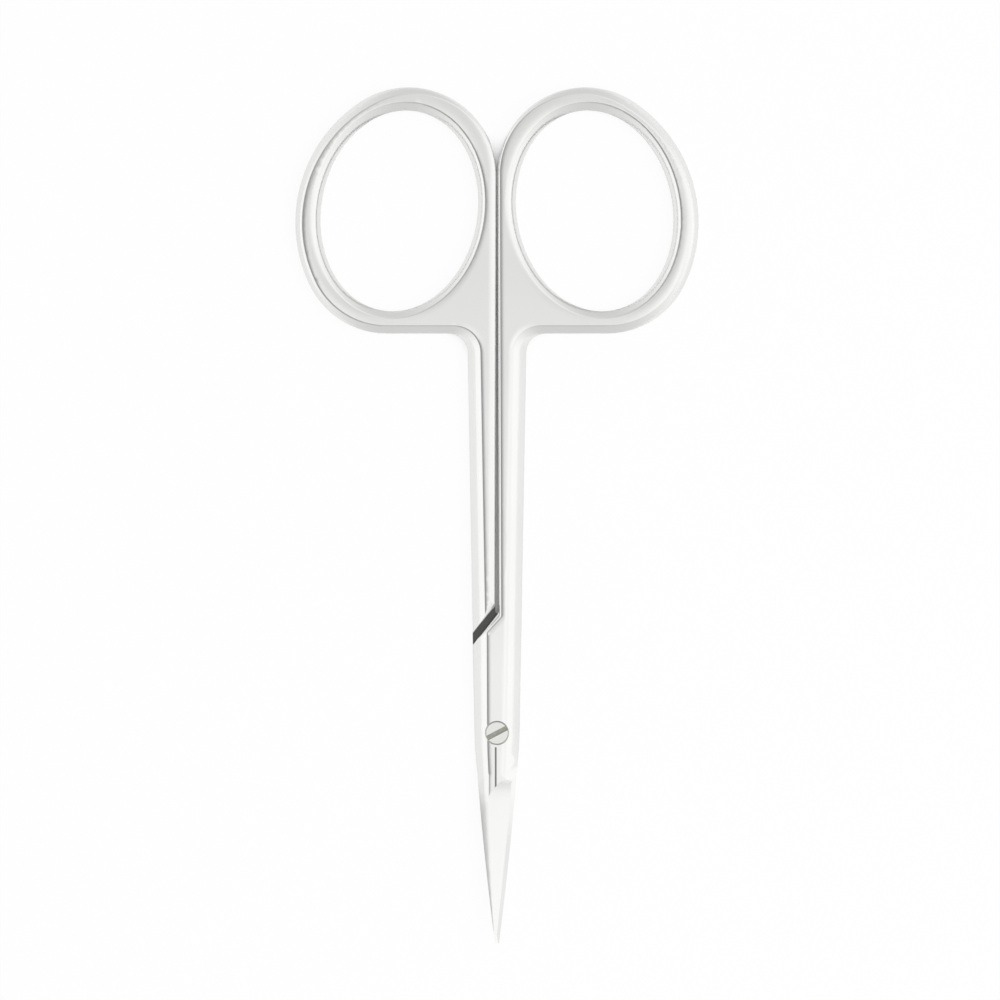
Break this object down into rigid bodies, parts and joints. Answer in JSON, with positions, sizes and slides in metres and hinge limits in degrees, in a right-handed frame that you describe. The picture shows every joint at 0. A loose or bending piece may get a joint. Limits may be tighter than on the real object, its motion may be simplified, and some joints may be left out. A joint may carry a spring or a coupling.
{
  "type": "cuticle scissors",
  "caption": "Slim steel cuticle scissors with oval finger loops, straight shanks, a lapped screw joint and fine pointed blades that curve gently up.",
  "frame": {"origin": "on the pivot axis, at the back face that the closed scissors lie on", "axes": "+Y from the blade tips to the finger loops, +Z from the back face to the front face with the screw head, +X to the front arm's loop"},
  "size_m": [0.0494, 0.1049, 0.0039],
  "materials": {
    "arm_steel": "fine satin polish",
    "screw_steel": "turned and polished"
  },
  "bodies": {
    "rear": {"rear_arm": "arm_steel", "pivot_screw": "screw_steel"},
    "front": {"front_arm": "arm_steel"}
  },
  "joints": [
    {"name": "pivot", "type": "hinge", "parent": "rear", "child": "front", "pos_m": [0, 0, 0], "axis": [0, 0, -1], "range_deg": [0, 90]}
  ]
}
